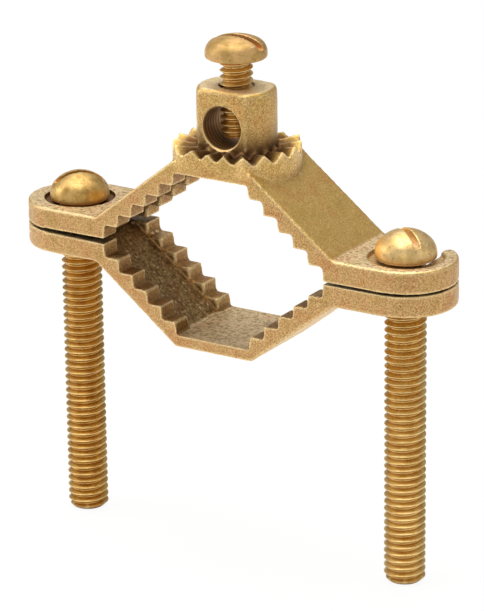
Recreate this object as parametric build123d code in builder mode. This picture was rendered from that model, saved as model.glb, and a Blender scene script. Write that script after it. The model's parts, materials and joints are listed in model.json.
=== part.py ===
from build123d import *

import os
from math import atan2, degrees, radians, tan

os.makedirs("parts", exist_ok=True)

# Earth rod clamp: two cast jaws drawn together by two clamp screws, with a terminal lug for
# the earth wire on top of the upper jaw. Millimetres, +Z up. X runs from screw to screw and Y
# along the rod or pipe. The origin is the centre of the grip, on the parting plane between
# the jaws.

# --- Driving dimensions ------------------------------------------------------------------

# Both jaws
screw_spacing = 71.6  # between the clamp screws' axes
jaw_width = 19.3  # along the rod; the ears end in half rounds of this width
left_ear_reach = 0.35  # by which the left ears' ends stand out past half rounds about the screw
web_height = 18.2  # parting plane to the outer face of a jaw's web
web_thickness = 2.3
web_outer_width = 16.6  # the web's outer face, between the two bends
leg_run = 17.6  # from a web bend to an ear bend, along X
ear_height = 4.4  # parting plane to an ear's outer face
left_gap_inner = 1.04  # between the jaws' left ears, beside the grip
left_gap_outer = 0.34  # between the jaws' left ears, at their outer ends
right_gap_inner = 0.54  # the right screw is drawn up further, so the right ears stand closer
right_gap_outer = 0.3
ear_bend_radius = 3.0  # outside, where a leg runs into an ear
web_bend_radius = 1.2  # outside, where a leg runs into the web

# Gripping teeth: stairs in two rows on each leg, with a smooth trough between the rows
tooth_count = 6
tooth_run = 3.15
first_tooth = 7.9  # from the middle of the jaw to the face of the innermost tooth
tooth_lean = 0.3  # by which a tooth's upright face leans back
tooth_row_width = 4.5
trough_depth = 0.35  # of the trough's floor below the line through the tooth roots
tooth_crest_radius = 0.4

# Ears of the upper jaw: a round hole on the left, a hook open to the rear on the right
seat_radius = 6.85  # shallow counterbore under a screw head
seat_depth = 0.8
ear_hole_radius = 5.1
hook_slot_width = 8.4  # lets the right clamp screw swing out to the rear
hook_tip_radius = 1.1

# Clamp screws
clamp_screw_diameter = 7.8
clamp_screw_length = 63.5  # under the head
clamp_head_diameter = 11.4
clamp_head_rim = 0.9  # straight band below the dome
clamp_head_dome = 4.45
head_lift = 0.6  # by which a head stands above its seat before it is tightened
running_clearance = 0.06  # radial, of a screw in its threaded hole
tip_chamfer = 0.8

# Crown: a ring of radial teeth round the foot of the lug
crown_radius = 12.0
crown_tooth_count = 18
crown_step = 0.95  # from the web's outer face to the bottoms of the grooves
crown_groove_depth = 2.25
crown_groove_angle = 90.0
crown_phase = -93.0  # direction of one crest, from +X

# Terminal lug and its screw
lug_radius = 7.5
lug_depth = 11.0  # between the front and rear flats
lug_top_radius = 1.0
wire_hole_radius = 4.1
wire_hole_floor = 1.3  # from the bottoms of the crown's grooves up to the wire hole
lug_roof = 2.95  # from the wire hole up to the lug's top
terminal_screw_diameter = 6.2
terminal_screw_length = 15.3  # under the head
terminal_head_diameter = 11.6
terminal_head_rim = 0.9
terminal_head_dome = 3.3
terminal_head_lift = 5.3  # from the lug's top to the underside of the head
mouth_chamfer = 0.3

# Heads of the three screws, each with its slot turned as its screw stands
dome_side_share = 0.8  # radius of a dome's side, as a share of the dome's height
slot_width = 1.15
slot_depth = 2.3
left_slot_turn = 42.0
right_slot_turn = 145.0
terminal_slot_turn = 0.0

# --- Sizes that follow -------------------------------------------------------------------

half_spacing = screw_spacing / 2
half_width = jaw_width / 2
ear_end = half_spacing + half_width + left_ear_reach
web_bend = web_outer_width / 2
ear_bend = web_bend + leg_run
web_inner = web_height - web_thickness
crown_root_height = web_height + crown_step
crown_top_height = crown_root_height + crown_groove_depth
wire_hole_height = crown_root_height + wire_hole_floor + wire_hole_radius
lug_height = wire_hole_height + wire_hole_radius + lug_roof
tooth_reach = (tooth_count - 1) * tooth_run  # from the first tooth's face to the last one's
last_tooth = first_tooth + tooth_reach
threaded_hole_radius = clamp_screw_diameter / 2 + running_clearance
tapped_hole_radius = terminal_screw_diameter / 2 + running_clearance
# Each half of a jaw: its direction along X, and how far its ear's inner face stands from the
# parting plane beside the grip and at the ear's end
jaw_halves = (
    (-1, left_gap_inner / 2, left_gap_outer / 2),
    (1, right_gap_inner / 2, right_gap_outer / 2),
)


def tooth_rise(root):
    """Height of one tooth, where the ear's inner face starts at the given height."""
    return (web_inner - root) / tooth_count


def trough_end(root, tip):
    """Where the floor of a trough meets the inner face of its ear."""
    slope = tooth_rise(root) / tooth_run
    ear_slope = (root - tip) / (ear_end - last_tooth)
    fall = web_inner + trough_depth - root
    reach = (fall - tooth_reach * slope) / (slope - ear_slope)
    return last_tooth + reach, root - reach * ear_slope


def wall_points(root, tip):
    """Half of an upper jaw seen along the rod: web, leg with its trough's floor, and ear."""
    trough_start = first_tooth + trough_depth * tooth_run / tooth_rise(root)
    return [
        (0, web_height),
        (web_bend, web_height),
        (ear_bend, ear_height),
        (ear_end, ear_height),
        (ear_end, tip),
        trough_end(root, tip),
        (trough_start, web_inner),
        (0, web_inner),
    ]


def crest_corners(root):
    """Crests of one row of teeth."""
    rise = tooth_rise(root)
    return [
        (first_tooth + step * tooth_run + tooth_lean, web_inner - (step + 1) * rise)
        for step in range(tooth_count)
    ]


def tooth_points(root, tip):
    """Half of a row of teeth: a stair whose back lies inside the leg's wall."""
    points = [(first_tooth, web_inner + web_thickness / 2)]
    for step, crest in enumerate(crest_corners(root)):
        points += [(first_tooth + step * tooth_run, web_inner - step * tooth_rise(root)), crest]
    end_x, end_height = trough_end(root, tip)
    points += [(end_x, end_height), (end_x, (end_height + ear_height) / 2)]
    return points


def turned(points, half, side):
    """Points of a profile for the left or right half (-1, 1) of the lower or upper jaw (-1, 1)."""
    return [(half * x, side * z) for x, z in points]


def near(vertex, places):
    """Whether a profile's vertex stands at one of the given places."""
    return any(abs(vertex.X - x) < 1e-3 and abs(vertex.Z - z) < 1e-3 for x, z in places)


def jaw_casting(side):
    """A jaw's plain casting: walls, tooth rows and round ears."""
    with BuildPart() as casting:
        for half, root, tip in jaw_halves:
            web_corner = turned([(web_bend, web_height)], half, side)
            ear_corner = turned([(ear_bend, ear_height)], half, side)
            with BuildSketch(Plane.XZ) as wall:
                with BuildLine():
                    Polyline(*turned(wall_points(root, tip), half, side), close=True)
                make_face()
                fillet([v for v in wall.vertices() if near(v, web_corner)], web_bend_radius)
                fillet([v for v in wall.vertices() if near(v, ear_corner)], ear_bend_radius)
            extrude(amount=half_width, both=True)
            crests = turned(crest_corners(root), half, side)
            for row_back in (half_width - tooth_row_width, -half_width):
                with BuildSketch(Plane.XZ.offset(row_back)) as row:
                    with BuildLine():
                        Polyline(*turned(tooth_points(root, tip), half, side), close=True)
                    make_face()
                    fillet([v for v in row.vertices() if near(v, crests)], tooth_crest_radius)
                extrude(amount=tooth_row_width)
        with BuildSketch(Plane.XY):
            with Locations((-left_ear_reach / 2, 0)):
                SlotCenterToCenter(screw_spacing + left_ear_reach, jaw_width)
        extrude(amount=web_height, both=True, mode=Mode.INTERSECT)
    return casting.part


def slotted_screw(name, axis_x, underside, sizes, turn):
    """A slotted round-head screw: sizes are shank diameter, length, head diameter, rim, dome."""
    diameter, length, head_diameter, rim, dome = sizes
    radius = head_diameter / 2
    dome_foot = (axis_x + radius, underside + rim)
    dome_top = (axis_x, underside + rim + dome)
    # The dome's profile is two arcs that meet smoothly: its side, and its flatter top
    side_radius = dome * dome_side_share
    top_radius = (radius**2 + dome**2 - 2 * radius * side_radius) / (2 * (dome - side_radius))
    side_turn = degrees(atan2(top_radius - dome, radius - side_radius))
    with BuildPart() as screw:
        with BuildSketch(Plane.XZ):
            with BuildLine():
                Polyline(dome_top, (axis_x, underside), (axis_x + radius, underside), dome_foot)
                side = JernArc(dome_foot, (0, 1), side_radius, side_turn)
                TangentArc(side @ 1, dome_top, tangent=side % 1)
            make_face()
        revolve(axis=Axis((axis_x, 0, 0), (0, 0, 1)))
        with BuildSketch(Plane.XY.offset(underside)):
            with Locations((axis_x, 0)):
                Circle(diameter / 2)
        extrude(amount=-length)
        chamfer(screw.edges().group_by(Axis.Z)[0], tip_chamfer)
        with BuildSketch(Plane.XY.offset(dome_top[1] - slot_depth)):
            with Locations(Location((axis_x, 0, 0), (0, 0, turn))):
                Rectangle(head_diameter, slot_width)
        extrude(amount=slot_depth, mode=Mode.SUBTRACT)
    screw.part.label = name
    return screw.part


# --- Lower jaw ---------------------------------------------------------------------------

lower_casting = jaw_casting(-1)
with BuildPart() as lower_jaw:
    add(lower_casting)
    with Locations((-half_spacing, 0), (half_spacing, 0)):
        Hole(threaded_hole_radius)
lower_jaw.part.label = "lower_jaw"

# --- Upper jaw ---------------------------------------------------------------------------


def at_hook_mouth(edge):
    """Whether an upright edge is a corner of the hook's mouth, in the upper jaw's right ear."""
    beside_slot = abs(abs(edge.center().X - half_spacing) - hook_slot_width / 2) < 1e-3
    return beside_slot and edge.center().Y > seat_radius


groove_half_width = crown_groove_depth * tan(radians(crown_groove_angle / 2))

upper_casting = jaw_casting(1)
with BuildPart() as upper_jaw:
    add(upper_casting)
    # Crown blank, standing on the web and the feet of the legs, flush with the jaw's sides
    with BuildSketch(Plane.XY.offset(web_inner)):
        Circle(crown_radius)
        Rectangle(2 * crown_radius, jaw_width, mode=Mode.INTERSECT)
    extrude(amount=crown_top_height - web_inner)
    # Radial grooves
    for tooth in range(crown_tooth_count):
        direction = crown_phase + (tooth + 0.5) * 360 / crown_tooth_count
        outward = Vector(1, 0, 0).rotate(Axis.Z, direction)
        across = outward.rotate(Axis.Z, 90)
        with BuildSketch(Plane(origin=(0, 0, crown_root_height), x_dir=across, z_dir=outward)):
            with BuildLine():
                edge = (groove_half_width, crown_groove_depth)
                Polyline((0, 0), edge, (-groove_half_width, crown_groove_depth), close=True)
            make_face()
        extrude(amount=crown_radius + 1, mode=Mode.SUBTRACT)
    # Lug
    with BuildSketch(Plane.XY.offset(web_height)):
        Circle(lug_radius)
        Rectangle(2 * lug_radius, lug_depth, mode=Mode.INTERSECT)
    extrude(amount=lug_height - web_height)
    fillet(upper_jaw.edges().group_by(Axis.Z)[-1], lug_top_radius)
    # Wire hole and the terminal screw's tapped hole above it
    with BuildSketch(Plane.XZ):
        with Locations((0, wire_hole_height)):
            Circle(wire_hole_radius)
    extrude(amount=lug_depth, both=True, mode=Mode.SUBTRACT)
    with BuildSketch(Plane.XY.offset(wire_hole_height)):
        Circle(tapped_hole_radius)
    extrude(amount=lug_height - wire_hole_height, mode=Mode.SUBTRACT)
    chamfer(upper_jaw.faces().sort_by(Axis.Z)[-1].inner_wires().edges(), mouth_chamfer)
    # Seats of the clamp screws' heads
    with BuildSketch(Plane.XY.offset(ear_height - seat_depth)):
        with Locations((-half_spacing, 0), (half_spacing, 0)):
            Circle(seat_radius)
    extrude(amount=seat_depth, mode=Mode.SUBTRACT)
    with Locations((-half_spacing, 0, ear_height)):
        Hole(ear_hole_radius, depth=ear_height)
    # Hook slot, open to the rear
    with BuildSketch(Plane.XY):
        with Locations((half_spacing, half_width)):
            SlotOverall(jaw_width + hook_slot_width, hook_slot_width, rotation=90)
    extrude(amount=ear_height, mode=Mode.SUBTRACT)
    fillet(upper_jaw.edges().filter_by(Axis.Z).filter_by(at_hook_mouth), hook_tip_radius)
upper_jaw.part.label = "upper_jaw"

# --- Screws ------------------------------------------------------------------------------

clamp_sizes = (
    clamp_screw_diameter,
    clamp_screw_length,
    clamp_head_diameter,
    clamp_head_rim,
    clamp_head_dome,
)
terminal_sizes = (
    terminal_screw_diameter,
    terminal_screw_length,
    terminal_head_diameter,
    terminal_head_rim,
    terminal_head_dome,
)
head_base = ear_height - seat_depth + head_lift
left_clamp_screw = slotted_screw("left_clamp_screw", -half_spacing, head_base, clamp_sizes, left_slot_turn)
right_clamp_screw = slotted_screw("right_clamp_screw", half_spacing, head_base, clamp_sizes, right_slot_turn)
terminal_base = lug_height + terminal_head_lift
terminal_screw = slotted_screw("terminal_screw", 0, terminal_base, terminal_sizes, terminal_slot_turn)

export_step(lower_jaw.part, "parts/lower_jaw.step")
export_step(upper_jaw.part, "parts/upper_jaw.step")
export_step(left_clamp_screw, "parts/left_clamp_screw.step")
export_step(right_clamp_screw, "parts/right_clamp_screw.step")
export_step(terminal_screw, "parts/terminal_screw.step")
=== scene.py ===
"""Earth rod clamp: two cast bronze jaws, three brass screws and a small studio.

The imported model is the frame. Each jaw is a casting grown from a copy of its CAD node: its edges
are rounded, its skin is uneven, and its bores are cut afterwards so that they stay crisp. Each
screw is turned, slotted and threaded new. Sizes in millimetres are turned to metres once.
"""

import json
import logging
import math
from collections.abc import Sequence
from dataclasses import dataclass, field
from enum import Enum

import bpy
from mathutils import Matrix, Vector

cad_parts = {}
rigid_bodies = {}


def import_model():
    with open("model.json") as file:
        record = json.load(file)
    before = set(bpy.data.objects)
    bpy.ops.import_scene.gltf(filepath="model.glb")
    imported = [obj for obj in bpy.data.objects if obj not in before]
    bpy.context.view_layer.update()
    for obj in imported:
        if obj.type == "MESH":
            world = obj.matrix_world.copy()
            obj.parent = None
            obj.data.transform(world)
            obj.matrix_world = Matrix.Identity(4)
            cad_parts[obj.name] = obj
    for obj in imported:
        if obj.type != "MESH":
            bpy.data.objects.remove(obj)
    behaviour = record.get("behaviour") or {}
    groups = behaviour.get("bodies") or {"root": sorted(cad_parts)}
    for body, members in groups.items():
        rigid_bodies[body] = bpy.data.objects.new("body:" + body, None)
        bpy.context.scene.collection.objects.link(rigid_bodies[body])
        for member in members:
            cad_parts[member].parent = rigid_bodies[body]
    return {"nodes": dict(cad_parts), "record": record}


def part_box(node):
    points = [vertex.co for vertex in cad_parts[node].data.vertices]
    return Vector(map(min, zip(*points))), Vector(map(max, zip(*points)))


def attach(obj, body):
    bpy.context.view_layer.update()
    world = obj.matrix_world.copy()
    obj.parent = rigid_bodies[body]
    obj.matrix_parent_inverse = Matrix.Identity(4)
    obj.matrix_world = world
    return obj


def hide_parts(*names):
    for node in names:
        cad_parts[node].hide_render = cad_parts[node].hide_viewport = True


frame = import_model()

LOG = logging.getLogger("earth_rod_clamp")
MM = 0.001
EAR_TOP_MM = 4.4  # from the parting plane to an ear's outer face
HEAD_HEIGHTS_MM = {  # from a head's underside to its crown
    "left_clamp_screw": 5.35,
    "right_clamp_screw": 5.35,
    "terminal_screw": 4.2,
}
LIP_SLOPE = (0.2, 0.95)  # how far a flared lip's faces look along its bore
BAND_PHASE = 20  # by which a Wave texture multiplies its place, in radians
COLOURS = {"output": 2, "data_type": "RGBA"}  # makes a Mix node mix colours
Inputs = dict[str | int, object] | Sequence[object]


class Axis(Enum):
    """The direction in which a turned form's axis points."""

    UP = "up"
    REARWARD = "rearward"


# --- Small helpers on Blender's own tools --------------------------------------------------


def select_only(*pieces: bpy.types.Object) -> None:
    """Selects these objects alone.

    Args:
        pieces: the objects, of which the first one becomes active.
    """
    bpy.ops.object.select_all(action="DESELECT")
    for piece in pieces:
        piece.select_set(True)
    bpy.context.view_layer.objects.active = pieces[0]


def start_editing(piece: bpy.types.Object, action: str = "SELECT") -> None:
    """Opens edit mode on one piece.

    Args:
        piece: the object to edit.
        action: SELECT or DESELECT, for all of its mesh.
    """
    select_only(piece)
    bpy.ops.object.mode_set(mode="EDIT")
    bpy.ops.mesh.select_mode(type="VERT")
    bpy.ops.mesh.select_all(action=action)


def keep_editing(piece: bpy.types.Object) -> None:
    """Opens edit mode on one piece with what is selected in its mesh."""
    select_only(piece)
    bpy.ops.object.mode_set(mode="EDIT")


def stop_editing() -> None:
    """Goes back to object mode."""
    bpy.ops.object.mode_set(mode="OBJECT")


def apply_modifier(piece: bpy.types.Object, kind: str, **settings: object) -> None:
    """Adds a modifier and applies it to the mesh.

    Args:
        piece: the object to shape.
        kind: Blender's name of the modifier.
        settings: the modifier's own settings.
    """
    select_only(piece)
    modifier = piece.modifiers.new(kind.title(), kind)
    for name, value in settings.items():
        setattr(modifier, name, value)
    bpy.ops.object.modifier_apply(modifier=modifier.name)


def join(pieces: list[bpy.types.Object]) -> bpy.types.Object:
    """Joins pieces into one.

    Args:
        pieces: the objects to join.

    Returns:
        The first one, which now holds them all.
    """
    select_only(*pieces)
    bpy.ops.object.join()
    return bpy.context.view_layer.objects.active


def settle(piece: bpy.types.Object) -> None:
    """Puts a piece's place and turn into its mesh, so that its object sits at the origin."""
    select_only(piece)
    bpy.ops.object.transform_apply(location=True, rotation=True, scale=True)


def turned(
    name: str,
    rings: list[tuple[float, float]],
    centre: Vector,
    axis: Axis = Axis.UP,
    sides: int = 96,
) -> bpy.types.Object:
    """Turns a solid on an axis, ring by ring, as on a lathe.

    Args:
        name: the new object's name.
        rings: radius and height of each ring, lowest first, in millimetres.
        centre: the point that heights are measured from, in metres.
        axis: where the axis points.
        sides: how many flats go round it.

    Returns:
        The closed solid, with its place in its mesh.
    """
    radius, height = rings[0]
    bpy.ops.object.select_all(action="DESELECT")
    bpy.ops.mesh.primitive_circle_add(
        vertices=sides, radius=radius * MM, fill_type="NGON", location=(0, 0, height * MM)
    )
    piece = bpy.context.object
    piece.name = name
    settle(piece)
    bpy.ops.object.mode_set(mode="EDIT")
    bpy.ops.mesh.select_all(action="SELECT")
    for next_radius, next_height in rings[1:]:
        rise = (next_height - height) * MM
        bpy.ops.mesh.extrude_region_move(TRANSFORM_OT_translate={"value": (0, 0, rise)})
        grow = next_radius / radius
        bpy.ops.transform.resize(value=(grow, grow, 1), center_override=(0, 0, next_height * MM))
        radius, height = next_radius, next_height
    bpy.ops.mesh.select_all(action="SELECT")
    bpy.ops.mesh.normals_make_consistent(inside=False)
    stop_editing()
    turn = Matrix.Rotation(-math.pi / 2, 4, "X") if axis is Axis.REARWARD else Matrix.Identity(4)
    piece.matrix_world = Matrix.Translation(centre) @ turn
    settle(piece)
    return piece


def carve(piece: bpy.types.Object, cutter: bpy.types.Object, operation: str = "DIFFERENCE") -> None:
    """Cuts a piece with a cutter, which is then thrown away.

    Args:
        piece: the object to cut.
        cutter: the closed solid to cut it with.
        operation: DIFFERENCE, INTERSECT or UNION.
    """
    apply_modifier(
        piece,
        "BOOLEAN",
        operation=operation,
        object=cutter,
        solver="EXACT",
        material_mode="TRANSFER",
    )
    bpy.data.objects.remove(cutter)


# --- Finishes ------------------------------------------------------------------------------


def linear(hex_colour: str) -> tuple[float, float, float, float]:
    """Turns a colour to linear light.

    Args:
        hex_colour: an sRGB hex value such as "#C9A36A".

    Returns:
        Red, green, blue and an alpha of 1.
    """
    parts = [int(hex_colour[i : i + 2], 16) / 255 for i in (1, 3, 5)]
    straight = [c / 12.92 if c <= 0.04045 else ((c + 0.055) / 1.055) ** 2.4 for c in parts]
    return (*straight, 1.0)


def per_metre(size_mm: float) -> float:
    """A pattern's scale on Object coordinates, for features of about this size."""
    return 1 / (size_mm * MM)


def metres(span_mm: tuple[float, float]) -> tuple[float, float]:
    """The two ends of a span, turned from millimetres to metres."""
    return span_mm[0] * MM, span_mm[1] * MM


def add_node(
    tree: bpy.types.NodeTree,
    kind: str,
    inputs: Inputs = (),
    output: str | int = 0,
    stops: Sequence[tuple[float, str]] = (),
    **settings: object,
) -> bpy.types.NodeSocket | None:
    """Adds a node with its settings, values and links.

    Args:
        tree: the material's or world's tree.
        kind: Blender's name of the node, without its "ShaderNode".
        inputs: a value, or the socket that feeds it, in order or by the input's name or number.
        output: the output that is handed on.
        stops: a colour ramp's places and sRGB hex colours.
        settings: the node's own settings.

    Returns:
        The output's socket, or None where the node has no output.
    """
    node = tree.nodes.new(f"ShaderNode{kind}")
    for name, value in settings.items():
        setattr(node, name, value)
    for name, value in inputs.items() if isinstance(inputs, dict) else enumerate(inputs):
        if isinstance(value, bpy.types.NodeSocket):
            tree.links.new(value, node.inputs[name])
        else:
            node.inputs[name].default_value = value
    if stops:
        elements = node.color_ramp.elements
        while len(elements) < len(stops):
            elements.new(0.5)
        for element, (place, colour) in zip(elements, stops):
            element.position = place
            element.color = linear(colour)
    return node.outputs[output] if len(node.outputs) else None


def new_tree(name: str) -> tuple[bpy.types.Material, bpy.types.NodeTree]:
    """Starts a material.

    Args:
        name: the material's name.

    Returns:
        The material and its empty tree.
    """
    material = bpy.data.materials.new(name)
    material.use_nodes = True
    material.node_tree.nodes.clear()
    return material, material.node_tree


@dataclass(frozen=True)
class Skin:
    """A casting's surface on one kind of face: the dark and the light of its sand grain."""

    dark: str
    light: str


@dataclass(frozen=True)
class CastBronze:
    """Sand-cast red brass, tumbled.

    Faces that stood upright in the sand are grainy tan and rose, level faces keep a dry skin
    painted paler as light from above, the backs of the legs are rubbed smooth and look olive,
    and the grip's side is painted brown: oxide between the rows of teeth and painted shade.
    """

    name: str = "cast_bronze_sandy"
    upright: Skin = Skin("#9C774A", "#D0AB74")
    handled: Skin = Skin("#9C7A45", "#D2B070")
    back: Skin = Skin("#BA9752", "#D8B46E")
    # Painted paler on the crown's outer wall, as light falling there
    rim: Skin = Skin("#AE8A52", "#E8C684")
    # Painted pale on the lug's top, as highlight and reflection
    lug_top: Skin = Skin("#DDBE86", "#F6E4BE")
    # A dry skin on level faces, painted paler as light from above
    level: Skin = Skin("#9E8056", "#E6CDA2")
    # The grip's side: brown oxide, painted darker besides as the shade inside the grip
    teeth: Skin = Skin("#7C582E", "#C2975A")
    trough: Skin = Skin("#6A4E28", "#AC8D5C")
    rose: str = "#F2D6C6"
    olive: str = "#E6E4C4"
    # Oxide in corners, deepened as painted shade
    hollow: str = "#4E3316"
    dark_brown: str = "#50301A"
    # Rubbed metal on edges, with a painted highlight
    rubbed: str = "#F1D8A2"
    # Painted glints in the trough
    glint_speck: str = "#F7E8C2"
    # Where each skin begins and is whole, in millimetres from the grip's middle
    trough_half_mm: tuple[float, float] = (5.15, 4.75)
    web_floor_mm: tuple[float, float] = (-14.6, -15.4)
    handled_mm: tuple[float, float] = (11.0, 18.0)
    crown_bottom_mm: tuple[float, float] = (16.5, 17.5)
    crown_top_mm: tuple[float, float] = (24.5, 25.5)
    foot_mm: tuple[float, float] = (25.5, 19.3)
    foot_below_mm: tuple[float, float] = (17.8, 18.3)
    foot_reach_mm: tuple[float, float] = (11.6, 9.8)
    rim_reach_mm: tuple[float, float] = (10.6, 11.6)
    rim_across_mm: tuple[float, float] = (8.9, 9.4)
    lug_top_mm: tuple[float, float] = (29.5, 31.0)
    # How squarely a face looks along the rod, up, up or down, to the grip and away from it
    upright_turn: tuple[float, float] = (0.62, 0.85)
    level_turn: tuple[float, float] = (0.84, 0.96)
    slope_turn: tuple[float, float] = (0.35, 0.55)
    grip_turn: tuple[float, float] = (0.0, -0.25)
    outer_turn: tuple[float, float] = (0.3, 0.5)
    patch_mm: float = 4.0
    speck_mm: float = 0.65
    grain_mm: float = 0.30
    shelter_mm: float = 3.0
    bump_mm: float = 0.12
    roughness: tuple[float, float] = (0.38, 0.52)
    metallic: float = 0.88

    def material(self) -> bpy.types.Material:
        """Mixes the casting's material.

        Returns:
            The material, which follows the casting's own coordinates.
        """
        material, tree = new_tree(self.name)
        place = add_node(tree, "TexCoord", output="Object")
        # Moulding sand leaves a grain of a few tenths of a millimetre
        grain, patches = (
            add_node(
                tree,
                "TexNoise",
                {"Vector": place, "Scale": per_metre(size), "Detail": detail, "Roughness": rough},
                "Fac",
            )
            for size, detail, rough in ((self.grain_mm, 2.5, 0.65), (self.patch_mm, 5.0, 0.62))
        )
        skin, worn, level = self.sides(tree, place, grain)
        tints = [(0.36, self.olive), (0.5, "#FFFFFF"), (0.64, self.rose)]
        tint = add_node(tree, "ValToRGB", [patches], stops=tints)
        tinted = add_node(tree, "MapRange", [worn, 0.0, 1.0, 0.6, 0.45])
        skin = add_node(
            tree, "Mix", {0: tinted, 6: skin, 7: tint}, blend_type="MULTIPLY", **COLOURS
        )
        # Oxide and painted shade darken the hollows, oxide stays at the lug's foot, and edges are
        # rubbed and carry a painted highlight
        layers = [
            (self.hollows(tree, level), self.hollow),
            (self.foot(tree, place, patches), self.dark_brown),
            (self.edges(tree, grain, worn), self.rubbed),
        ]
        for share, colour in layers:
            skin = add_node(tree, "Mix", {0: share, 6: skin, 7: linear(colour)}, **COLOURS)
        depth = add_node(tree, "MapRange", [worn, 0.0, 1.0, 0.75, 0.22])
        bump = add_node(
            tree, "Bump", {"Height": grain, "Strength": depth, "Distance": self.bump_mm * MM}
        )
        surface = add_node(
            tree,
            "BsdfPrincipled",
            {
                "Base Color": skin,
                "Roughness": add_node(tree, "MapRange", [grain, 0.3, 0.7, *self.roughness]),
                "Normal": bump,
                "Metallic": self.metallic,
            },
        )
        add_node(tree, "OutputMaterial", {"Surface": surface})
        return material

    def hollows(
        self, tree: bpy.types.NodeTree, level: bpy.types.NodeSocket
    ) -> bpy.types.NodeSocket:
        """How dark the corners go: oxide, and painted shade where light is sheltered.

        Args:
            tree: the material's tree.
            level: 1 on pale level faces, which keep less of it.

        Returns:
            The share of oxide and painted shade.
        """
        open_sky = add_node(
            tree, "AmbientOcclusion", {"Distance": self.shelter_mm * MM}, "AO", samples=8
        )
        dark = add_node(tree, "MapRange", [open_sky, 0.40, 0.92, 0.95, 0.0])
        kept = add_node(tree, "MapRange", [level, 0.0, 1.0, 1.0, 0.25])
        return add_node(tree, "Math", [dark, kept], operation="MULTIPLY")

    def edges(
        self,
        tree: bpy.types.NodeTree,
        grain: bpy.types.NodeSocket,
        worn: bpy.types.NodeSocket,
    ) -> bpy.types.NodeSocket:
        """How bright the edges are: rubbed metal with a painted highlight, broken up by the grain.

        Args:
            tree: the material's tree.
            grain: the sand's grain.
            worn: how far the skin is smooth already, where edges stand out less.

        Returns:
            The share of rubbed metal and painted highlight.
        """
        # Edges that stand out get a painted highlight, partly rubbed metal
        raised = add_node(tree, "NewGeometry", output="Pointiness")
        bright = add_node(tree, "MapRange", [raised, 0.508, 0.55, 0.0, 0.85])
        for value, spread in ((grain, (0.36, 0.56, 0.45, 1.0)), (worn, (0.6, 1.0, 1.0, 0.2))):
            share = add_node(tree, "MapRange", [value, *spread])
            bright = add_node(tree, "Math", [bright, share], operation="MULTIPLY")
        return bright

    def sides(
        self,
        tree: bpy.types.NodeTree,
        place: bpy.types.NodeSocket,
        grain: bpy.types.NodeSocket,
    ) -> tuple[bpy.types.NodeSocket, bpy.types.NodeSocket, bpy.types.NodeSocket]:
        """The skin of each kind of face, by the way that it looks, with light and shade painted in.

        Args:
            tree: the material's tree.
            place: the point on the casting.
            grain: the sand's grain.

        Returns:
            The colour, how far the skin is rubbed smooth, and 1 on pale level faces.
        """
        facing = add_node(tree, "TexCoord", output="Normal")
        height = add_node(tree, "SeparateXYZ", [place], "Z")
        across, along, tilt = (
            add_node(
                tree, "Math", [add_node(tree, "SeparateXYZ", [vector], axis)], operation="ABSOLUTE"
            )
            for vector, axis in ((place, "Y"), (facing, "Y"), (facing, "Z"))
        )
        rise = add_node(tree, "SeparateXYZ", [facing], "Z")
        flat_place = add_node(tree, "VectorMath", [place, (1, 0, 1)], operation="MULTIPLY")
        outward = add_node(tree, "VectorMath", [flat_place], operation="NORMALIZE")
        away = add_node(tree, "VectorMath", [outward, facing], "Value", operation="DOT_PRODUCT")
        upright = add_node(tree, "MapRange", [along, *self.upright_turn])
        grip_side = add_node(tree, "MapRange", [away, *self.grip_turn])
        handled = add_node(tree, "MapRange", [height, *metres(self.handled_mm)])
        # The steps of the teeth are level too, but brown: only the web's floor is pale,
        # painted as light from above
        web_floor = add_node(tree, "MapRange", [height, *metres(self.web_floor_mm)])
        steps = add_node(tree, "Math", [grip_side, web_floor], operation="SUBTRACT")
        level = add_node(
            tree,
            "Math",
            [
                add_node(tree, "MapRange", [rise, *self.level_turn]),
                add_node(tree, "MapRange", [steps, 0.0, 1.0, 1.0, 0.0]),
            ],
            operation="MULTIPLY",
        )
        smooth, trough, lug_top, rim = (
            add_node(
                tree,
                "Math",
                [add_node(tree, "MapRange", [value, *ends]), other],
                operation="MULTIPLY",
            )
            for value, ends, other in (
                (away, self.outer_turn, add_node(tree, "MapRange", [tilt, *self.slope_turn])),
                (across, metres(self.trough_half_mm), grip_side),
                (height, metres(self.lug_top_mm), level),
                (self.reach(tree, place), metres(self.rim_reach_mm), self.crown(tree, height)),
            )
        )
        tones = {
            skin: add_node(tree, "ValToRGB", [grain], stops=[(0.38, skin.dark), (0.62, skin.light)])
            for skin in (self.upright, self.handled, self.back, self.rim, self.lug_top, self.teeth)
        }
        # Where the skin was left alone the sand's coarser specks show as well
        specks = add_node(
            tree,
            "TexNoise",
            {
                "Vector": place,
                "Scale": per_metre(self.speck_mm),
                "Detail": 3.0,
                "Roughness": 0.72,
            },
            "Fac",
        )
        pale = [(0.36, self.level.dark), (0.54, self.level.light)]
        # The brightest specks in the trough are painted glints
        brown = [(0.38, self.trough.dark), (0.62, self.trough.light), (0.72, self.glint_speck)]
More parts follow.
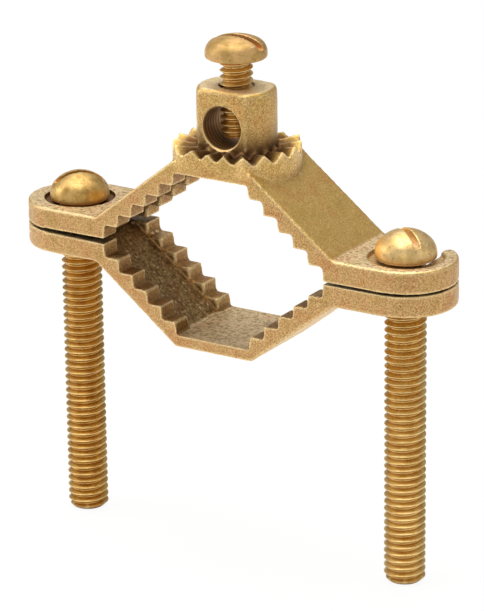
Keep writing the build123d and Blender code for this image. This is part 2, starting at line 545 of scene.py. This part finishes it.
        # The lug and the crown are handled more than the ears; the crown's outer wall is
        # painted paler besides, as light falling on it
        standing = add_node(
            tree, "Mix", {0: handled, 6: tones[self.upright], 7: tones[self.handled]}, **COLOURS
        )
        standing = add_node(tree, "Mix", {0: rim, 6: standing, 7: tones[self.rim]}, **COLOURS)
        skin = standing
        for share, tone in (
            (smooth, tones[self.back]),
            # The grip's side painted darker brown, partly oxide and partly painted shade
            (grip_side, tones[self.teeth]),
            (trough, add_node(tree, "ValToRGB", [specks], stops=brown)),
            # Level faces painted pale, as light from above
            (level, add_node(tree, "ValToRGB", [specks], stops=pale)),
            # The lug's top painted pale, as highlight and reflection
            (lug_top, tones[self.lug_top]),
            (upright, standing),
        ):
            skin = add_node(tree, "Mix", {0: share, 6: skin, 7: tone}, **COLOURS)
        bare = add_node(tree, "Math", [smooth, upright], operation="SUBTRACT")
        half_worn = add_node(tree, "Math", [handled, 0.5], operation="MULTIPLY")
        worn = add_node(tree, "Math", [bare, half_worn], operation="MAXIMUM")
        crown = self.crown(tree, height)
        return skin, worn, add_node(tree, "Math", [level, crown], operation="SUBTRACT")

    def crown(
        self, tree: bpy.types.NodeTree, height: bpy.types.NodeSocket
    ) -> bpy.types.NodeSocket:
        """Marks the crown's height.

        Args:
            tree: the material's tree.
            height: the height on the casting.

        Returns:
            1 from the crown's wall up to the wire hole's middle.
        """
        above, over = (
            add_node(tree, "MapRange", [height, *metres(ends)])
            for ends in (self.crown_bottom_mm, self.crown_top_mm)
        )
        return add_node(tree, "Math", [above, over], operation="SUBTRACT")

    def reach(
        self, tree: bpy.types.NodeTree, place: bpy.types.NodeSocket
    ) -> bpy.types.NodeSocket:
        """The distance from the terminal screw's axis."""
        flat_place = add_node(tree, "VectorMath", [place, (1, 1, 0)], operation="MULTIPLY")
        return add_node(tree, "VectorMath", [flat_place], "Value", operation="LENGTH")

    def foot(
        self,
        tree: bpy.types.NodeTree,
        place: bpy.types.NodeSocket,
        patches: bpy.types.NodeSocket,
    ) -> bpy.types.NodeSocket:
        """Oxide round the lug's foot, inside the crown and off its outer wall.

        Args:
            tree: the material's tree.
            place: the point on the casting.
            patches: the cloudy value that makes the oxide patchy.

        Returns:
            The oxide's share.
        """
        height = add_node(tree, "SeparateXYZ", [place], "Z")
        reach = self.reach(tree, place)
        side = add_node(tree, "SeparateXYZ", [place], "Y")
        across = add_node(tree, "Math", [side], operation="ABSOLUTE")
        flat_wall = add_node(tree, "MapRange", [across, *metres(self.rim_across_mm)])
        round_wall = add_node(tree, "MapRange", [reach, *metres(self.rim_reach_mm)])
        wall = add_node(tree, "Math", [flat_wall, round_wall], operation="MAXIMUM")
        share = add_node(tree, "MapRange", [patches, 0.3, 0.5, 0.55, 1.0])
        for value, spread in (
            (height, (*metres(self.foot_mm), 0.0, 0.95)),
            (height, (*metres(self.foot_below_mm), 0.0, 1.0)),
            (reach, (*metres(self.foot_reach_mm), 0.0, 1.0)),
            (wall, (0.0, 1.0, 1.0, 0.0)),
        ):
            part = add_node(tree, "MapRange", [value, *spread])
            share = add_node(tree, "Math", [share, part], operation="MULTIPLY")
        return share


@dataclass(frozen=True)
class DrilledBronze:
    """The same bronze in a drilled or faced bore: darker, with fine rings from the tool."""

    name: str = "drilled_bronze"
    metal: str = "#B08A58"
    groove: str = "#83603A"
    # A drill's rings are a tenth of this apart and wouldn't show, so they are drawn coarser
    ring_mm: float = 0.888
    ring_depth_mm: float = 0.05
    roughness: float = 0.48
    metallic: float = 0.8

    def material(self) -> bpy.types.Material:
        """Mixes the bores' material.

        Returns:
            The material, with its rings across the rod's direction.
        """
        material, tree = new_tree(self.name)
        rings = add_node(
            tree,
            "TexWave",
            {
                "Vector": add_node(tree, "TexCoord", output="Object"),
                "Scale": per_metre(self.ring_mm) * math.tau / BAND_PHASE,
                "Distortion": 0.6,
                "Detail": 1.0,
            },
            "Fac",
            wave_type="BANDS",
            bands_direction="Y",
        )
        depth = {"Height": rings, "Strength": 0.4, "Distance": self.ring_depth_mm * MM}
        colours = [(0.2, self.groove), (0.8, self.metal)]
        surface = add_node(
            tree,
            "BsdfPrincipled",
            {
                "Base Color": add_node(tree, "ValToRGB", [rings], stops=colours),
                "Roughness": self.roughness,
                "Normal": add_node(tree, "Bump", depth),
                "Metallic": self.metallic,
            },
        )
        add_node(tree, "OutputMaterial", {"Surface": surface})
        return material


@dataclass(frozen=True)
class ScrewBrass:
    """Yellow brass wire, headed and rolled: the head is pale, matt and pitted by tumbling, and
    the thread is brighter; crests carry a painted cream highlight, grooves painted golden shade."""

    name: str
    bright: str
    dull: str
    # The colour painted where the metal is sheltered: a glow in slots, shade in thread grooves
    groove: str = "#FF9C4A"
    shelter: tuple[float, float] = (0.9, 0.0)
    shelter_mm: float = 1.3
    # Painted highlight on crests, partly rubbed metal
    rubbed: str = "#F4E3B4"
    pitted: str = "#8F7A5A"
    patch_mm: float = 2.4
    pit_mm: float = 0.5
    pit_depth_mm: float = 0.08
    roughness: tuple[float, float] = (0.44, 0.34)
    # Less metallic where sheltered, so that a slot's painted glow shows
    metallic: tuple[float, float] = (0.96, 0.25)

    def material(self) -> bpy.types.Material:
        """Mixes the material of one part of a screw.

        Returns:
            The material, which follows the screw's own coordinates.
        """
        material, tree = new_tree(self.name)
        place = add_node(tree, "TexCoord", output="Object")
        patches, pits = (
            add_node(
                tree,
                "TexNoise",
                {"Vector": place, "Scale": per_metre(size), "Detail": detail, "Roughness": 0.6},
                "Fac",
            )
            for size, detail in ((self.patch_mm, 6.0), (self.pit_mm, 3.0))
        )
        skin = add_node(
            tree, "ValToRGB", [patches], stops=[(0.35, self.dull), (0.58, self.bright)]
        )
        spots = add_node(tree, "ValToRGB", [pits], stops=[(0.30, self.pitted), (0.40, "#FFFFFF")])
        skin = add_node(tree, "Mix", {0: 0.8, 6: skin, 7: spots}, blend_type="MULTIPLY", **COLOURS)
        # Slots are painted glowing, as light from their own walls, thread grooves painted
        # darker as shade, and crests a painted highlight on rubbed metal
        open_sky = add_node(
            tree, "AmbientOcclusion", {"Distance": self.shelter_mm * MM}, "AO", samples=8
        )
        deep = add_node(tree, "MapRange", [open_sky, 0.5, 0.9, *self.shelter])
        skin = add_node(tree, "Mix", {0: deep, 6: skin, 7: linear(self.groove)}, **COLOURS)
        raised = add_node(tree, "NewGeometry", output="Pointiness")
        crest = add_node(tree, "MapRange", [raised, 0.52, 0.62, 0.0, 0.6])
        skin = add_node(tree, "Mix", {0: crest, 6: skin, 7: linear(self.rubbed)}, **COLOURS)
        depth = {"Height": pits, "Strength": 0.35, "Distance": self.pit_depth_mm * MM}
        surface = add_node(
            tree,
            "BsdfPrincipled",
            {
                "Base Color": skin,
                "Roughness": add_node(tree, "MapRange", [patches, 0.3, 0.7, *self.roughness]),
                "Normal": add_node(tree, "Bump", depth),
                "Metallic": add_node(tree, "MapRange", [deep, 0.0, 1.0, *self.metallic]),
            },
        )
        add_node(tree, "OutputMaterial", {"Surface": surface})
        return material


# --- Castings ------------------------------------------------------------------------------


@dataclass(frozen=True)
class Bore:
    """A drilled or faced hole: rings of radius and height along its axis, in millimetres."""

    name: str
    rings: list[tuple[float, float]]
    centre: tuple[float, float, float]
    finish: bpy.types.Material
    axis: Axis = Axis.UP
    plug: list[tuple[float, float]] = field(default_factory=list)
    lip: bpy.types.Material | None = None

    def place(self) -> Vector:
        """The bore's centre in metres."""
        return Vector(self.centre) * MM

    def cutter(self) -> bpy.types.Object:
        """Turns the solid that cuts the bore.

        Returns:
            The cutter, with the bore's finish and that of its flared lips.
        """
        cutter = turned(f"{self.name}_cutter", self.rings, self.place(), self.axis)
        cutter.data.materials.append(self.finish)
        if self.lip:
            cutter.data.materials.append(self.lip)
            along = Vector((0, 1, 0)) if self.axis is Axis.REARWARD else Vector((0, 0, 1))
            for polygon in cutter.data.polygons:
                flared = LIP_SLOPE[0] < abs(polygon.normal.dot(along)) < LIP_SLOPE[1]
                polygon.material_index = 1 if flared else 0
        return cutter


@dataclass
class Casting:
    """A jaw: a rounded, uneven casting with crisp bores."""

    node: str
    bores: list[Bore]
    skin: bpy.types.Material
    voxel_mm: float = 0.30
    smoothing: int = 3
    edge_smoothing: int = 9
    corner_smoothing: int = 0
    corner_box_mm: tuple[float, float, float] = (3.2, 3.6, 22.0)
    plain_height_mm: float = 17.4
    outer_turn: float = 0.25
    swell_mm: float = 0.10
    swell_size_mm: float = 2.2
    smooth_angle: float = 38.0

    def copied(self) -> bpy.types.Object:
        """Copies the CAD node's mesh, free of the frame.

        Returns:
            The copy, with its doubles merged.
        """
        node = frame["nodes"][self.node]
        piece = bpy.data.objects.new(f"{self.node}_casting", node.data.copy())
        bpy.context.scene.collection.objects.link(piece)
        piece.data.materials.clear()
        piece.data.materials.append(self.skin)
        start_editing(piece)
        bpy.ops.mesh.remove_doubles(threshold=0.002 * MM)
        bpy.ops.mesh.normals_make_consistent(inside=False)
        stop_editing()
        return piece

    def build(self) -> bpy.types.Object:
        """Builds, dresses and seats the casting.

        Returns:
            The finished piece.
        """
        piece = self.copied()
        plugs = [
            turned(f"{bore.name}_plug", bore.plug, bore.place(), bore.axis)
            for bore in self.bores
            if bore.plug
        ]
        if plugs:
            piece = join([piece, *plugs])
        apply_modifier(piece, "REMESH", mode="VOXEL", voxel_size=self.voxel_mm * MM)
        apply_modifier(piece, "SMOOTH", factor=0.5, iterations=self.smoothing)
        self.round_outer_edges(piece)
        self.swell(piece)
        for bore in self.bores:
            carve(piece, bore.cutter())
        select_only(piece)
        bpy.ops.object.shade_smooth_by_angle(angle=math.radians(self.smooth_angle))
        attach(piece, self.node)
        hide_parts(self.node)
        return piece

    def round_outer_edges(self, piece: bpy.types.Object) -> None:
        """Rounds the edges on the jaw's outer side, which are worn more than its teeth.

        Args:
            piece: the casting.
        """
        low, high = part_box(self.node)
        side = 1 if high.z > -low.z else -1
        outer = [
            vertex.index
            for vertex in piece.data.vertices
            if side * vertex.normal.z > self.outer_turn
            and side * vertex.co.z < self.plain_height_mm * MM
        ]
        self.smooth_there(piece, outer, self.edge_smoothing)
        near_x, near_y, above = (size * MM for size in self.corner_box_mm)
        corners_of_lug = [
            vertex.index
            for vertex in piece.data.vertices
            if abs(vertex.co.x) > near_x and abs(vertex.co.y) > near_y and vertex.co.z > above
        ]
        self.smooth_there(piece, corners_of_lug, self.corner_smoothing)

    def smooth_there(self, piece: bpy.types.Object, chosen: list[int], times: int) -> None:
        """Smooths one part of the skin and a margin round it.

        Args:
            piece: the casting.
            chosen: the part's vertices.
            times: how many times it is smoothed.
        """
        if not times or not chosen:
            return
        start_editing(piece, "DESELECT")
        stop_editing()
        for index in chosen:
            piece.data.vertices[index].select = True
        keep_editing(piece)
        bpy.ops.mesh.select_more()
        bpy.ops.mesh.select_more()
        group = piece.vertex_groups.new(name="worn")
        piece.vertex_groups.active_index = group.index
        bpy.context.scene.tool_settings.vertex_group_weight = 1.0
        bpy.ops.object.vertex_group_assign()
        stop_editing()
        apply_modifier(piece, "SMOOTH", factor=0.5, iterations=times, vertex_group=group.name)
        piece.vertex_groups.clear()

    def swell(self, piece: bpy.types.Object) -> None:
        """Gives the skin the slow waves that a sand mould leaves.

        Args:
            piece: the casting.
        """
        clouds = bpy.data.textures.new(f"{self.node}_waves", "CLOUDS")
        clouds.noise_scale = self.swell_size_mm * MM
        apply_modifier(
            piece,
            "DISPLACE",
            texture=clouds,
            texture_coords="LOCAL",
            strength=self.swell_mm * MM,
            mid_level=0.55,
        )


# --- Screws --------------------------------------------------------------------------------


@dataclass
class RoundHeadScrew:
    """A slotted round-head machine screw with a true right-hand thread."""

    node: str
    headed: bpy.types.Material
    rolled: bpy.types.Material
    pitch_mm: float
    rim_mm: float
    thread_radius_mm: float
    slot_turn: float
    head_top_share: float = 0.8
    slot_width_mm: float = 1.15
    slot_depth_mm: float = 2.3
    tip_chamfer_mm: float = 0.8
    head_voxel_mm: float = 0.15
    thread_steps: int = 30
    buried_mm: float = 0.6
    smooth_angle: float = 40.0

    def __post_init__(self) -> None:
        """Reads the screw's place and reach from the frame, in millimetres."""
        low, high = (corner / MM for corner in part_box(self.node))
        self.axis_x = (low.x + high.x) / 2
        self.axis_y = (low.y + high.y) / 2
        self.tip = low.z
        self.crown = high.z
        self.head_radius = (high.x - low.x) / 2

    def build(self) -> bpy.types.Object:
        """Builds, dresses and seats the screw.

        Returns:
            The finished piece.
        """
        parts = [self.head(), self.shank()]
        for part, finish in zip(parts, (self.headed, self.rolled)):
            part.data.materials.clear()
            part.data.materials.append(finish)
        piece = join(parts)
        piece.name = f"{self.node}_turned"
        piece.data.name = piece.name
        select_only(piece)
        bpy.ops.object.shade_smooth_by_angle(angle=math.radians(self.smooth_angle))
        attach(piece, self.node)
        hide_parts(self.node)
        return piece

    def dome_rings(self, base: float) -> list[tuple[float, float]]:
        """Rings of the head from its underside to its crown.

        Args:
            base: height of the head's underside, in millimetres.

        Returns:
            Radius and height of each ring.
        """
        dome = self.crown - base - self.rim_mm
        side = dome * self.head_top_share
        top = (self.head_radius**2 + dome**2 - 2 * self.head_radius * side) / (2 * (dome - side))
        turn = math.atan2(top - dome, self.head_radius - side)
        foot = base + self.rim_mm
        rings = [
            (self.head_radius - 0.35, base),
            (self.head_radius - 0.08, base + 0.15),
            (self.head_radius, base + 0.45),
        ]
        for step in range(9):
            angle = turn * step / 8
            rings.append(
                (self.head_radius - side + side * math.cos(angle), foot + side * math.sin(angle))
            )
        for step in range(1, 12):
            angle = turn + (math.pi / 2 - turn) * step / 12
            rings.append((top * math.cos(angle), foot + dome - top + top * math.sin(angle)))
        return rings

    def head(self) -> bpy.types.Object:
        """Turns and slots the domed head and eases its edges.

        Returns:
            The head.
        """
        centre = Vector((self.axis_x, self.axis_y, 0)) * MM
        head = turned(f"{self.node}_head", self.dome_rings(self.base()), centre)
        bpy.ops.object.select_all(action="DESELECT")
        bottom = self.crown - self.slot_depth_mm
        bpy.ops.mesh.primitive_cube_add(
            size=1,
            location=(centre.x, centre.y, (bottom + 2) * MM),
            rotation=(0, 0, math.radians(self.slot_turn)),
            scale=(3 * self.head_radius * MM, self.slot_width_mm * MM, 4 * MM),
        )
        cutter = bpy.context.object
        settle(cutter)
        carve(head, cutter)
        apply_modifier(head, "REMESH", mode="VOXEL", voxel_size=self.head_voxel_mm * MM)
        apply_modifier(head, "SMOOTH", factor=0.5, iterations=3)
        return head

    def base(self) -> float:
        """Height of the head's underside."""
        return self.crown - HEAD_HEIGHTS_MM[self.node]

    def thread_profile(self) -> list[tuple[float, float]]:
        """One pitch of thread from root to root.

        Returns:
            Radius and rise of each point.
        """
        crest = self.thread_radius_mm
        share = self.pitch_mm
        root = crest - 0.6 * share
        return [
            (root, 0.0),
            (root + 0.02 * share, 0.08 * share),
            (crest - 0.06 * share, 0.41 * share),
            (crest, 0.46 * share),
            (crest, 0.54 * share),
            (crest - 0.06 * share, 0.59 * share),
            (root + 0.02 * share, 0.92 * share),
            (root, share),
        ]

    def shank(self) -> bpy.types.Object:
        """Winds the threaded shank.

        Returns:
            The shank, cut square at the tip and chamfered.
        """
        length = self.base() - self.tip + self.buried_mm
        turns = math.ceil(length / self.pitch_mm) + 2
        start = self.tip - self.pitch_mm
        profile = self.thread_profile()
        bpy.ops.object.select_all(action="DESELECT")
        bpy.ops.mesh.primitive_plane_add(
            size=0.1 * MM, location=(profile[0][0] * MM, 0, start * MM)
        )
        shank = bpy.context.object
        shank.name = f"{self.node}_shank"
        settle(shank)
        bpy.ops.object.mode_set(mode="EDIT")
        bpy.ops.mesh.select_all(action="SELECT")
        bpy.ops.mesh.merge(type="CENTER")
        for (radius, rise), (next_radius, next_rise) in zip(profile, profile[1:]):
            step = ((next_radius - radius) * MM, 0, (next_rise - rise) * MM)
            bpy.ops.mesh.extrude_vertices_move(TRANSFORM_OT_translate={"value": step})
        stop_editing()
        apply_modifier(
            shank,
            "SCREW",
            axis="Z",
            angle=math.tau,
            screw_offset=self.pitch_mm * MM,
            iterations=turns,
            steps=self.thread_steps,
            render_steps=self.thread_steps,
        )
        self.trim(shank)
        shank.matrix_world = Matrix.Translation(Vector((self.axis_x, self.axis_y, 0)) * MM)
        settle(shank)
        return shank

    def trim(self, shank: bpy.types.Object) -> None:
        """Closes the thread's seam, cuts both ends square and chamfers the tip.

        Args:
            shank: the wound thread.
        """
        start_editing(shank)
        bpy.ops.mesh.remove_doubles(threshold=0.004 * MM)
        ends = ((self.tip, True), (self.base() + self.buried_mm, False))
        for height, below in ends:
            bpy.ops.mesh.select_all(action="SELECT")
            bpy.ops.mesh.bisect(
                plane_co=(0, 0, height * MM),
                plane_no=(0, 0, 1),
                use_fill=True,
                clear_inner=below,
                clear_outer=not below,
            )
        bpy.ops.mesh.select_all(action="SELECT")
        bpy.ops.mesh.normals_make_consistent(inside=False)
        stop_editing()
        crest = self.thread_radius_mm
        rings = [
            (crest - self.tip_chamfer_mm, self.tip - 0.01),
            (crest + 0.3, self.tip + self.tip_chamfer_mm + 0.3),
            (crest + 0.3, self.base() + 2 * self.buried_mm),
        ]
        carve(shank, turned("tip_envelope", rings, Vector((0, 0, 0))), "INTERSECT")


# --- Studio --------------------------------------------------------------------------------


@dataclass(frozen=True)
class Softbox:
    """A soft area light, aimed at the clamp."""

    name: str
    place: tuple[float, float, float]
    size: float
    power: float
    aim: tuple[float, float, float] = (0, 0, -0.01)

    def build(self) -> None:
        """Hangs the light."""
        lamp = bpy.data.lights.new(self.name, "AREA")
        lamp.shape = "SQUARE"
        lamp.size = self.size
        lamp.energy = self.power
        holder = bpy.data.objects.new(self.name, lamp)
        bpy.context.scene.collection.objects.link(holder)
        holder.location = self.place
        beam = Vector(self.aim) - holder.location
        holder.rotation_euler = beam.to_track_quat("-Z", "Y").to_euler()


@dataclass(frozen=True)
class Studio:
    """A plain pale floor and backdrop, soft lights and the camera."""

    azimuth: float = 32.18
    elevation: float = 19.54
    roll: float = 0.74
    distance_mm: float = 640.0
    aside_mm: float = 0.48
    below_mm: float = 10.85
    lens_mm: float = 201.77
    flag_place: tuple[float, float] = (0.135, -0.215)
    flag_size: tuple[float, float] = (0.12, 0.20)
    surround: str = "#F2F2F0"
    surround_strength: float = 0.55
    floor_colour: str = "#F4F4F4"
    floor_white_share: float = 0.92
    floor_gap_mm: float = 0.2
    card_colour: str = "#3B3428"
    softboxes: tuple[Softbox, ...] = (
        Softbox("overhead_softbox", (-0.1, 0.05, 0.75), 0.7, 6.5),
        Softbox("left_softbox", (-0.7, -0.35, 0.35), 0.45, 2.6),
        Softbox("front_softbox", (0.35, -0.8, 0.25), 0.5, 1.3),
        Softbox("right_softbox", (0.75, 0.12, 0.28), 0.5, 0.8),
    )

    def build(self) -> None:
        """Builds the whole studio."""
        self.floor()
        self.flag()
        self.world()
        for softbox in self.softboxes:
            softbox.build()
        self.camera()

    def lowest(self) -> float:
        """The height of the screws' tips, in metres."""
        return min(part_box(node)[0].z for node in frame["nodes"])

    def floor(self) -> None:
        """Lays a pale floor that keeps the clamp's soft shadow."""
        bpy.ops.object.select_all(action="DESELECT")
        height = self.lowest() - self.floor_gap_mm * MM
        bpy.ops.mesh.primitive_plane_add(size=6, location=(0, 0, height))
        floor = bpy.context.object
        floor.name = "studio_floor"
        settle(floor)
        material, tree = new_tree("studio_paper")
        paper = add_node(tree, "BsdfDiffuse", {"Color": linear(self.floor_colour)})
        glow = add_node(tree, "Emission", {"Color": linear("#FFFFFF"), "Strength": 1.0})
        seen = add_node(tree, "LightPath", output="Is Camera Ray")
        share = add_node(tree, "Math", [seen, self.floor_white_share], operation="MULTIPLY")
        blend = add_node(tree, "MixShader", [share, paper, glow])
        add_node(tree, "OutputMaterial", {"Surface": blend})
        floor.data.materials.append(material)

    def flag(self) -> None:
        """Lays a dark card low in front, which only the metal mirrors."""
        bpy.ops.object.select_all(action="DESELECT")
        bpy.ops.mesh.primitive_plane_add(size=1, location=(*self.flag_place, self.lowest()))
        card = bpy.context.object
        card.name = "studio_flag"
        card.scale = (*self.flag_size, 1)
        card.rotation_euler = (0, 0, math.radians(self.azimuth))
        settle(card)
        material, tree = new_tree("studio_flag_card")
        felt = add_node(tree, "BsdfDiffuse", {"Color": linear(self.card_colour)})
        add_node(tree, "OutputMaterial", {"Surface": felt})
        card.data.materials.append(material)
        card.visible_camera = False
        card.visible_diffuse = False
        card.visible_shadow = False

    def world(self) -> None:
        """Surrounds the clamp with even pale light."""
        world = bpy.data.worlds.new("studio_surround")
        bpy.context.scene.world = world
        world.use_nodes = True
        tree = world.node_tree
        tree.nodes.clear()
        even = add_node(
            tree,
            "Background",
            {"Color": linear(self.surround), "Strength": self.surround_strength},
        )
        white = add_node(tree, "Background", {"Color": linear("#FFFFFF"), "Strength": 1.0})
        seen = add_node(tree, "LightPath", output="Is Camera Ray")
        blend = add_node(tree, "MixShader", [seen, even, white])
        add_node(tree, "OutputWorld", {"Surface": blend})

    def camera(self) -> None:
        """Sets the camera, looking down on the front from the right."""
        turn, tilt, lean = (math.radians(a) for a in (self.azimuth, self.elevation, self.roll))
        across = Vector((math.cos(turn), math.sin(turn), 0))
        ahead = Vector(
            (-math.sin(turn) * math.cos(tilt), math.cos(turn) * math.cos(tilt), -math.sin(tilt))
        )
        rise = across.cross(ahead)
        right = across * math.cos(lean) - rise * math.sin(lean)
        up = across * math.sin(lean) + rise * math.cos(lean)
        eye = (across * self.aside_mm - rise * self.below_mm - ahead * self.distance_mm) * MM
        lens = bpy.data.cameras.new("studio_camera")
        lens.lens = self.lens_mm
        lens.sensor_width = 36.0
        lens.clip_start = 0.01
        holder = bpy.data.objects.new("studio_camera", lens)
        bpy.context.scene.collection.objects.link(holder)
        basis = Matrix((right, up, -ahead)).transposed().to_4x4()
        holder.matrix_world = Matrix.Translation(eye) @ basis
        bpy.context.scene.camera = holder


# --- The clamp -----------------------------------------------------------------------------


def mount_place(name: str) -> tuple[float, float, float]:
    """A named mount's place in millimetres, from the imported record."""
    mount = next(mount for mount in frame["record"]["mounts"] if mount["name"] == name)
    return tuple(value / MM for value in mount["pos_m"])


def screw_finishes() -> tuple[list[bpy.types.Material], list[bpy.types.Material]]:
    """Mixes the screws' finishes, each a little apart, as screws from a box are.

    Returns:
        The heads' finishes, left, right and terminal, and the threads', left and right.
    """
    heads = [
        ScrewBrass("headed_brass_dull", "#C6A466", "#9A793E", roughness=(0.56, 0.44)),
        # Its slot is painted pale, as light on the slot's floor
        ScrewBrass("headed_brass_pale", "#DABA82", "#BA9A5C", "#FFE2B0", roughness=(0.5, 0.4)),
        ScrewBrass("headed_brass_rosy", "#C29D66", "#A5864E", roughness=(0.60, 0.50)),
    ]
    # Thread grooves painted darker, as shade
    rolled = {
        "shelter": (0.5, 0.0),
        "shelter_mm": 1.1,
        "patch_mm": 3.0,
        "metallic": (0.96, 0.9),
    }
    threads = [
        ScrewBrass("rolled_brass_gold", "#D2AC60", "#B58A40", "#9A5C1C", **rolled),
        ScrewBrass("rolled_brass_pale", "#DDBE7A", "#C69E54", "#A56C2C", **rolled),
    ]
    return [h.material() for h in heads], [t.material() for t in threads]


def upper_jaw_bores() -> list[Bore]:
    """Sets out the upper jaw's drilled and faced holes.

    Returns:
        The wire hole, the tapped hole and the two seats under the clamp screws' heads.
    """
    drilled = DrilledBronze().material()
    lip = DrilledBronze("lipped_bronze", "#F4DDAA", "#D9B77C").material()
    # The left seat under its head is painted dark, as the shade that falls there
    dark_brown = DrilledBronze("seat_shade_bronze", "#8A683E", "#5C4124").material()
    faced = DrilledBronze("faced_bronze", "#D2AE78", "#B08B56").material()
    left, right = (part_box(node) for node in ("left_clamp_screw", "right_clamp_screw"))
    left_x, right_x = ((low.x + high.x) / 2 / MM for low, high in (left, right))
    lug_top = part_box("upper_jaw")[1].z / MM
    return [
        Bore(
            "wire_hole",
            [(4.42, -5.9), (4.42, -5.56), (4.1, -5.24), (4.1, 5.24), (4.42, 5.56), (4.42, 5.9)],
            mount_place("wire_hole"),
            drilled,
            Axis.REARWARD,
            [(4.6, -5.5), (4.6, 5.5)],
            lip,
        ),
        Bore(
            "tapped_hole",
            [(3.16, -5.0), (3.16, -0.3), (3.5, 0.04), (3.5, 0.5)],
            (0, 0, lug_top),
            drilled,
            plug=[(3.7, -1.2), (3.7, 0.0)],
        ),
        Bore(
            "left_seat",
            [(5.1, -6.0), (5.1, -0.8), (6.85, -0.8), (6.85, 1.0)],
            (left_x, 0, EAR_TOP_MM),
            dark_brown,
            plug=[(7.1, -3.2), (7.1, 0.0)],
        ),
        Bore("right_seat", [(6.95, -0.8), (6.95, 1.0)], (right_x, 0, EAR_TOP_MM), faced),
    ]


def main() -> None:
    """Builds the clamp and its studio, and reports each piece."""
    logging.basicConfig(level=logging.INFO, format="%(name)s: %(message)s")
    bpy.context.scene.view_settings.view_transform = "Standard"
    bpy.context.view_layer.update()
    skin = CastBronze().material()
    heads, threads = screw_finishes()
    clamp_thread = {"pitch_mm": 1.411, "rim_mm": 0.9, "thread_radius_mm": 3.9}
    makers = [
        Casting("lower_jaw", [], skin),
        Casting("upper_jaw", upper_jaw_bores(), skin, corner_smoothing=26),
        RoundHeadScrew(
            "left_clamp_screw",
            heads[0],
            threads[0],
            slot_turn=42,
            slot_width_mm=1.5,
            **clamp_thread,
        ),
        RoundHeadScrew("right_clamp_screw", heads[1], threads[1], slot_turn=145, **clamp_thread),
        RoundHeadScrew(
            "terminal_screw",
            heads[2],
            threads[1],
            pitch_mm=1.27,
            rim_mm=0.9,
            thread_radius_mm=3.1,
            slot_turn=0,
            slot_width_mm=1.5,
        ),
    ]
    for maker in makers:
        piece = maker.build()
        LOG.info("%s: %d faces", piece.name, len(piece.data.polygons))
    Studio().build()


if __name__ == "__main__":
    main()
